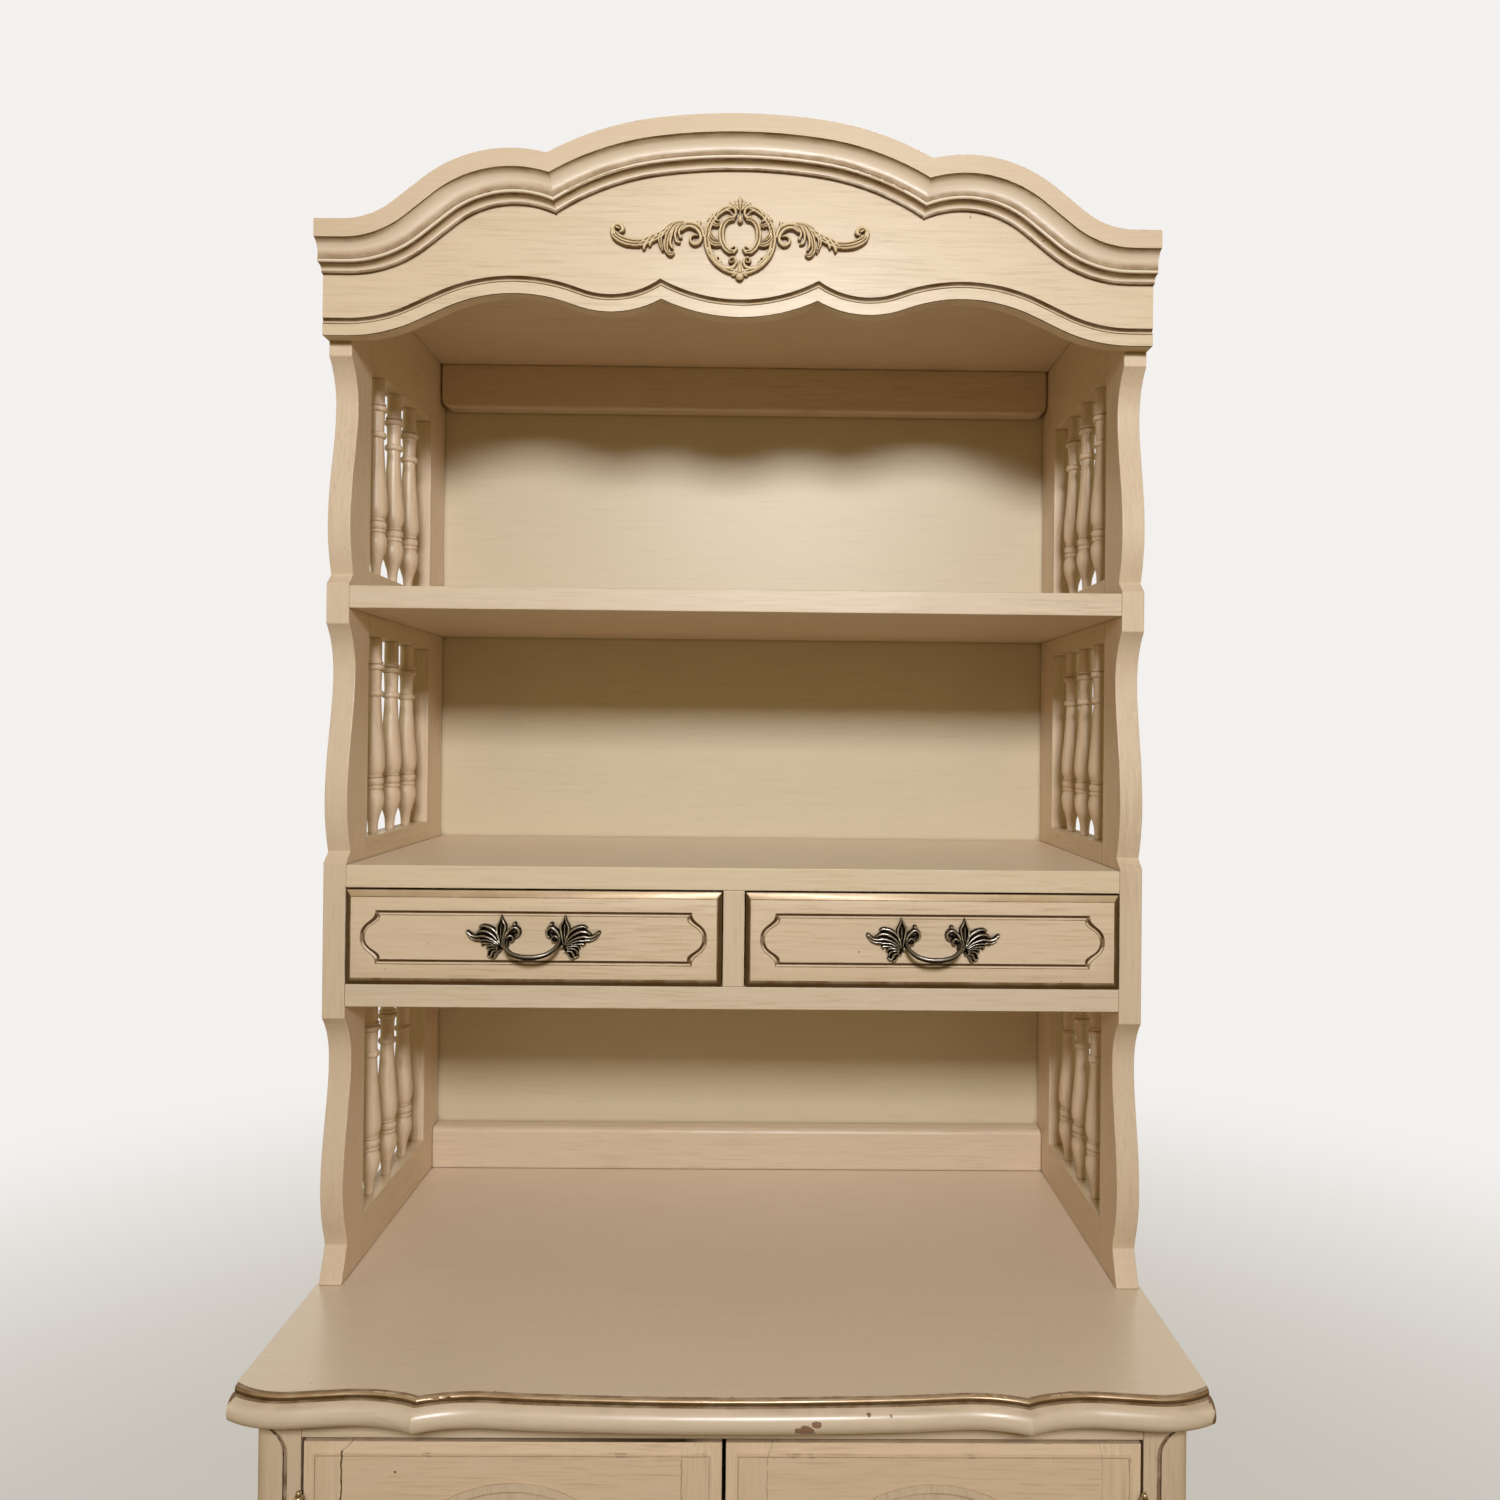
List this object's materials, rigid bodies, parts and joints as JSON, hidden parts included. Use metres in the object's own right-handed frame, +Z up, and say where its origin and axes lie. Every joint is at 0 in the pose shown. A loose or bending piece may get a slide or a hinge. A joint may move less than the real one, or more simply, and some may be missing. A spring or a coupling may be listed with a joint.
{
  "type": "dresser with hutch",
  "caption": "Two-door base cabinet carrying an open hutch with small drawers, turned side spindles and a scrolled bonnet with a carved cartouche.",
  "frame": {"origin": "on the floor, midway between the sides and between front and back", "axes": "+Z up, front towards -Y, left is -X"},
  "size_m": [0.7872, 0.4921, 1.8338],
  "materials": {
    "cream_paint": "antique cream paint with brushed brown glaze",
    "gilded_paint": "antique cream paint with gilded edges",
    "inner_wood": "plain clear-finished secondary wood",
    "back_board": "cream painted thin board",
    "pewter": "antique dark cast metal",
    "hinge_brass": "aged brass",
    "steel": "plain steel",
    "catch_plastic": "pale plastic magnetic catch"
  },
  "bodies": {
    "cabinet": {"base_apron": "cream_paint", "base_back_panel": "back_board", "base_back_rails": "inner_wood", "base_bottom": "inner_wood", "base_front_post_left": "cream_paint", "base_front_post_right": "cream_paint", "base_rear_posts": "cream_paint", "base_shelf": "inner_wood", "base_side_left": "cream_paint", "base_side_right": "cream_paint", "base_top": "gilded_paint", "base_top_rail": "cream_paint", "bonnet_cartouche": "gilded_paint", "bonnet_crown": "gilded_paint", "bonnet_frieze": "gilded_paint", "bonnet_glue_blocks": "inner_wood", "door_catches": "catch_plastic", "drawer_case_bottom": "cream_paint", "drawer_case_top": "cream_paint", "drawer_divider": "cream_paint", "drawer_stops": "inner_wood", "foot_glides": "steel", "hinge_fixed_leaves": "hinge_brass", "hutch_back_bottom_rail": "cream_paint", "hutch_back_panel": "back_board", "hutch_back_top_rail": "cream_paint", "hutch_front_post_left": "cream_paint", "hutch_front_post_right": "cream_paint", "hutch_plates": "steel", "hutch_rear_post_left": "cream_paint", "hutch_rear_post_right": "cream_paint", "hutch_roof": "cream_paint", "hutch_shelf": "cream_paint", "hutch_side_rails_left": "cream_paint", "hutch_side_rails_right": "cream_paint", "hutch_spindles_left": "cream_paint", "hutch_spindles_right": "cream_paint", "shelf_pins": "steel"},
    "drawer_left": {"drawer_left_back": "inner_wood", "drawer_left_bottom": "inner_wood", "drawer_left_front": "gilded_paint", "drawer_left_pull": "pewter", "drawer_left_sides": "inner_wood"},
    "drawer_right": {"drawer_right_back": "inner_wood", "drawer_right_bottom": "inner_wood", "drawer_right_front": "gilded_paint", "drawer_right_pull": "pewter", "drawer_right_sides": "inner_wood"},
    "door_left": {"door_left_frame": "cream_paint", "door_left_hinge_leaves": "hinge_brass", "door_left_knob": "pewter", "door_left_moulding": "cream_paint", "door_left_panel": "cream_paint", "door_left_strike": "steel"},
    "door_right": {"door_right_frame": "cream_paint", "door_right_hinge_leaves": "hinge_brass", "door_right_knob": "pewter", "door_right_moulding": "cream_paint", "door_right_panel": "cream_paint", "door_right_strike": "steel"}
  },
  "joints": [
    {"name": "drawer_left_slide", "type": "slide", "parent": "cabinet", "child": "drawer_left", "axis": [0, -1, 0], "range_m": [0, 0.2]},
    {"name": "drawer_right_slide", "type": "slide", "parent": "cabinet", "child": "drawer_right", "axis": [0, -1, 0], "range_m": [0, 0.2]},
    {"name": "door_left_hinge", "type": "hinge", "parent": "cabinet", "child": "door_left", "pos_m": [-0.33375, -0.2087, 0.44], "axis": [0, 0, -1], "range_deg": [0, 110]},
    {"name": "door_right_hinge", "type": "hinge", "parent": "cabinet", "child": "door_right", "pos_m": [0.33375, -0.2087, 0.44], "axis": [0, 0, 1], "range_deg": [0, 110]}
  ]
}
